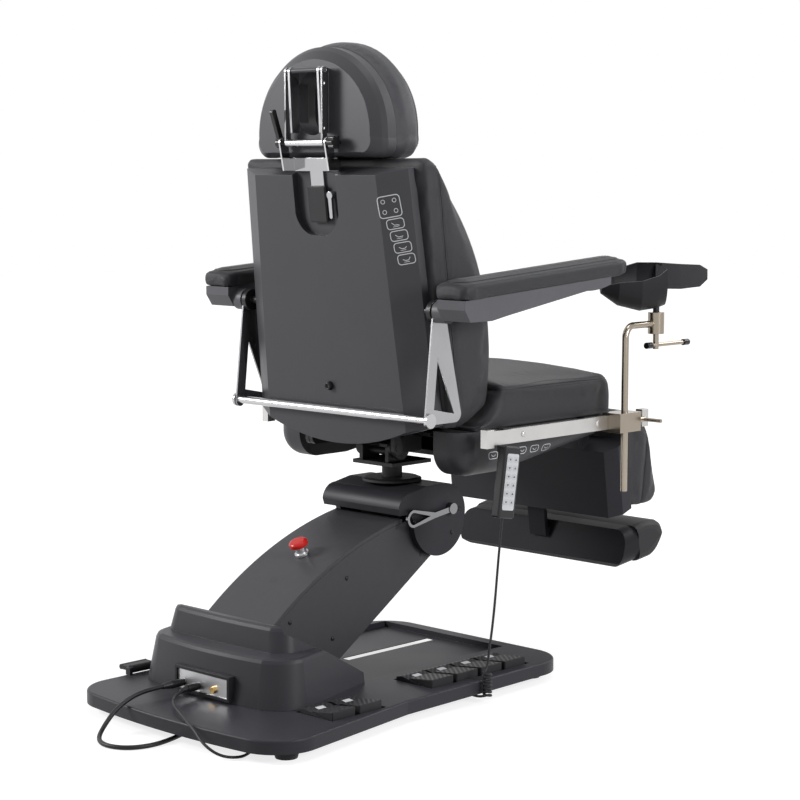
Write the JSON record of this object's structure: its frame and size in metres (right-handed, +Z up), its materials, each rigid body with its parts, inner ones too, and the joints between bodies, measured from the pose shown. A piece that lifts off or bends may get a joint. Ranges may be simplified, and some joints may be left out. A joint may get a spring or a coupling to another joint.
{
  "type": "gynecological examination table",
  "caption": "Upholstered powered examination couch on a swing-arm pedestal with adjustable back, headrest, armrests, legrest and clamp-on leg troughs",
  "frame": {"origin": "floor level, under the middle of the table's box without its floor cords", "axes": "+Z up, +Y towards the back rest and the connectors, -Y the front of the seat, +X the person's left"},
  "size_m": [0.8184, 1.5027, 1.338],
  "materials": {
    "leatherette": "satin charcoal leatherette with stitched seams",
    "shell_plastic": "satin dark grey moulded plastic",
    "black_plastic": "matte black plastic",
    "base_metal": "dark grey textured paint on sheet steel",
    "frame_metal": "black powder paint",
    "chrome": "bright chrome plating",
    "stainless": "brushed stainless steel",
    "nickel": "warm satin nickel",
    "aluminium": "satin aluminium",
    "moulded_foam": "black moulded skin foam",
    "rubber": "ribbed black rubber",
    "cable": "black cable sheath",
    "red_plastic": "bright red gloss plastic",
    "grip": "black gloss plastic"
  },
  "bodies": {
    "base": {"base_rear_plate": "base_metal", "base_front_tray": "base_metal", "base_feet": "rubber", "base_cover": "shell_plastic", "connector_panel": "aluminium", "cable_plugs": "black_plastic", "power_cable": "cable", "control_cable": "cable", "arm_yoke": "frame_metal"},
    "foot_lever": {"foot_lever": "frame_metal"},
    "arm": {"arm_core": "frame_metal", "arm_top_cover": "shell_plastic", "arm_side_covers": "shell_plastic", "estop_collar": "aluminium"},
    "estop": {"estop_button": "red_plastic"},
    "link": {"parallel_link": "frame_metal"},
    "head": {"head_frame": "frame_metal", "head_cover": "shell_plastic"},
    "swivel_lever": {"swivel_lever": "chrome"},
    "swivel": {"swivel_post": "frame_metal"},
    "seat": {"seat_frame": "frame_metal", "seat_pan": "shell_plastic", "seat_cushion": "leatherette", "side_rails": "stainless", "handset": "black_plastic", "handset_cord": "cable", "handset_curl": "cable"},
    "legrest": {"legrest_shell": "shell_plastic", "legrest_cushion": "leatherette"},
    "footrest": {"footrest_shell": "shell_plastic", "footrest_pad": "rubber"},
    "back": {"back_shell": "shell_plastic", "back_cushion": "leatherette", "back_frame": "frame_metal", "roll_brackets": "chrome"},
    "roll_bar": {"roll_bar": "chrome"},
    "headrest_lock": {"headrest_lock": "grip"},
    "headrest_carrier": {"headrest_bracket": "chrome"},
    "headrest_link": {"headrest_links": "chrome"},
    "headrest_clamp": {"headrest_clamp": "grip"},
    "headrest": {"headrest_shell": "shell_plastic", "headrest_cushion": "leatherette"},
    "pedal_1": {"pedal_1": "rubber"},
    "pedal_2": {"pedal_2": "rubber"},
    "pedal_3": {"pedal_3": "rubber"},
    "pedal_4": {"pedal_4": "rubber"},
    "pedal_5": {"pedal_5": "rubber"},
    "pedal_6": {"pedal_6": "rubber"},
    "armrest_left": {"armrest_pad_left": "leatherette", "armrest_shell_left": "shell_plastic"},
    "leg_clamp_left": {"leg_clamp_left": "stainless"},
    "leg_rod_left": {"leg_rod_left": "nickel"},
    "leg_trough_left": {"leg_trough_left": "moulded_foam"},
    "leg_handle_left": {"leg_handle_left": "nickel"},
    "armrest_right": {"armrest_pad_right": "leatherette", "armrest_shell_right": "shell_plastic"},
    "leg_clamp_right": {"leg_clamp_right": "stainless"},
    "leg_rod_right": {"leg_rod_right": "nickel"},
    "leg_trough_right": {"leg_trough_right": "moulded_foam"},
    "leg_handle_right": {"leg_handle_right": "nickel"}
  },
  "joints": [
    {"name": "lift", "type": "hinge", "parent": "base", "child": "arm", "pos_m": [0.002, 0.3075, 0.145], "axis": [-1, 0, 0], "range_deg": [-8, 42], "deforming": ["handset_cord", "handset_curl"]},
    {"name": "link_turn", "type": "hinge", "parent": "base", "child": "link", "pos_m": [0.002, 0.2855, 0.1], "axis": [-1, 0, 0], "range_deg": [-8, 42]},
    {"name": "head_level", "type": "hinge", "parent": "arm", "child": "head", "pos_m": [0.002, -0.0425, 0.303], "axis": [-1, 0, 0], "range_deg": [-42, 8]},
    {"name": "swivel_turn", "type": "hinge", "parent": "head", "child": "swivel", "pos_m": [0.002, -0.0425, 0.4], "axis": [0, 0, 1], "range_deg": [-90, 90], "deforming": ["handset_cord", "handset_curl"]},
    {"name": "seat_tilt", "type": "hinge", "parent": "swivel", "child": "seat", "pos_m": [0.002, -0.0125, 0.474], "axis": [-1, 0, 0], "range_deg": [0, 12], "deforming": ["handset_cord", "handset_curl"]},
    {"name": "legrest_lift", "type": "hinge", "parent": "seat", "child": "legrest", "pos_m": [0.002, -0.4825, 0.495], "axis": [-1, 0, 0], "range_deg": [0, 80]},
    {"name": "footrest_slide", "type": "slide", "parent": "legrest", "child": "footrest", "axis": [0, -0.1288, -0.9917], "range_m": [-0.03, 0.09]},
    {"name": "back_recline", "type": "hinge", "parent": "seat", "child": "back", "pos_m": [0.002, 0.0755, 0.5], "axis": [-1, 0, 0], "range_deg": [0, 55]},
    {"name": "roll_bar_turn", "type": "hinge", "parent": "back", "child": "roll_bar", "pos_m": [0.002, 0.1445, 0.576], "axis": [1, 0, 0], "continuous": true},
    {"name": "armrest_left_lift", "type": "hinge", "parent": "back", "child": "armrest_left", "pos_m": [0.302, 0.1155, 0.794], "axis": [-1, 0, 0], "range_deg": [0, 85]},
    {"name": "armrest_right_lift", "type": "hinge", "parent": "back", "child": "armrest_right", "pos_m": [-0.298, 0.1155, 0.794], "axis": [-1, 0, 0], "range_deg": [0, 85]},
    {"name": "headrest_lock_turn", "type": "hinge", "parent": "back", "child": "headrest_lock", "pos_m": [-0.037, 0.1689, 1.025], "axis": [0, 0.9932, -0.1167], "range_deg": [0, 20]},
    {"name": "headrest_slide", "type": "slide", "parent": "back", "child": "headrest_carrier", "axis": [0, 0.1167, 0.9932], "range_m": [0, 0.09]},
    {"name": "headrest_clamp_turn", "type": "hinge", "parent": "headrest_link", "child": "headrest_clamp", "pos_m": [0.002, 0.2095, 1.131], "axis": [-1, 0, 0], "range_deg": [0, 60]},
    {"name": "headrest_lean", "type": "hinge", "parent": "headrest_carrier", "child": "headrest_link", "pos_m": [0.002, 0.2095, 1.131], "axis": [-1, 0, 0], "range_deg": [0, 40]},
    {"name": "headrest_tilt", "type": "hinge", "parent": "headrest_link", "child": "headrest", "pos_m": [0.002, 0.2095, 1.277], "axis": [-1, 0, 0], "range_deg": [0, 30]},
    {"name": "pedal_1_press", "type": "hinge", "parent": "base", "child": "pedal_1", "pos_m": [-0.235, 0.1465, 0.0415], "axis": [0, -1, 0], "range_deg": [0, 3], "stiffness_Nm_per_rad": 40, "springref_deg": -1.15},
    {"name": "pedal_2_press", "type": "hinge", "parent": "base", "child": "pedal_2", "pos_m": [-0.235, 0.0725, 0.0415], "axis": [0, -1, 0], "range_deg": [0, 3], "stiffness_Nm_per_rad": 40, "springref_deg": -1.15},
    {"name": "pedal_3_press", "type": "hinge", "parent": "base", "child": "pedal_3", "pos_m": [-0.235, -0.0015, 0.0415], "axis": [0, -1, 0], "range_deg": [0, 3], "stiffness_Nm_per_rad": 40, "springref_deg": -1.15},
    {"name": "pedal_4_press", "type": "hinge", "parent": "base", "child": "pedal_4", "pos_m": [-0.235, -0.0755, 0.0415], "axis": [0, -1, 0], "range_deg": [0, 3], "stiffness_Nm_per_rad": 40, "springref_deg": -1.15},
    {"name": "pedal_5_press", "type": "hinge", "parent": "base", "child": "pedal_5", "pos_m": [-0.277, 0.4575, 0.0415], "axis": [0, -1, 0], "range_deg": [0, 3], "stiffness_Nm_per_rad": 40, "springref_deg": -1.15},
    {"name": "pedal_6_press", "type": "hinge", "parent": "base", "child": "pedal_6", "pos_m": [-0.277, 0.3855, 0.0415], "axis": [0, -1, 0], "range_deg": [0, 3], "stiffness_Nm_per_rad": 40, "springref_deg": -1.15},
    {"name": "foot_lever_turn", "type": "hinge", "parent": "base", "child": "foot_lever", "pos_m": [0.193, 0.4975, 0.056], "axis": [0, 1, 0], "range_deg": [-20, 4]},
    {"name": "estop_press", "type": "slide", "parent": "arm", "child": "estop", "axis": [0, -0.3987, -0.9171], "range_m": [0, 0.004], "stiffness_N_per_m": 1500, "springref_m": -0.002},
    {"name": "swivel_lever_lift", "type": "hinge", "parent": "head", "child": "swivel_lever", "pos_m": [-0.12, -0.0995, 0.352], "axis": [1, 0, 0], "range_deg": [-10, 40]},
    {"name": "leg_clamp_left_slide", "type": "slide", "parent": "seat", "child": "leg_clamp_left", "axis": [0, -1, 0], "range_m": [0, 0.04]},
    {"name": "leg_rod_left_height", "type": "slide", "parent": "leg_clamp_left", "child": "leg_rod_left", "axis": [0, 0, 1], "range_m": [-0.1, 0.1]},
    {"name": "leg_trough_left_turn", "type": "hinge", "parent": "leg_rod_left", "child": "leg_trough_left", "pos_m": [0.354, -0.5125, 0.74], "axis": [0, 0, 1], "range_deg": [0, 45]},
    {"name": "leg_handle_left_turn", "type": "hinge", "parent": "leg_rod_left", "child": "leg_handle_left", "pos_m": [0.354, -0.5125, 0.693], "axis": [0, 0, 1], "range_deg": [-90, 90]},
    {"name": "leg_clamp_right_slide", "type": "slide", "parent": "seat", "child": "leg_clamp_right", "axis": [0, -1, 0], "range_m": [0, 0.04]},
    {"name": "leg_rod_right_height", "type": "slide", "parent": "leg_clamp_right", "child": "leg_rod_right", "axis": [0, 0, 1], "range_m": [-0.1, 0.1]},
    {"name": "leg_trough_right_turn", "type": "hinge", "parent": "leg_rod_right", "child": "leg_trough_right", "pos_m": [-0.35, -0.5125, 0.74], "axis": [0, 0, -1], "range_deg": [0, 45]},
    {"name": "leg_handle_right_turn", "type": "hinge", "parent": "leg_rod_right", "child": "leg_handle_right", "pos_m": [-0.35, -0.5125, 0.693], "axis": [0, 0, 1], "range_deg": [-90, 90]}
  ],
  "couplings": [
    {"joint": "link_turn", "follows": "lift", "ratio": 1},
    {"joint": "head_level", "follows": "lift", "ratio": -1}
  ]
}
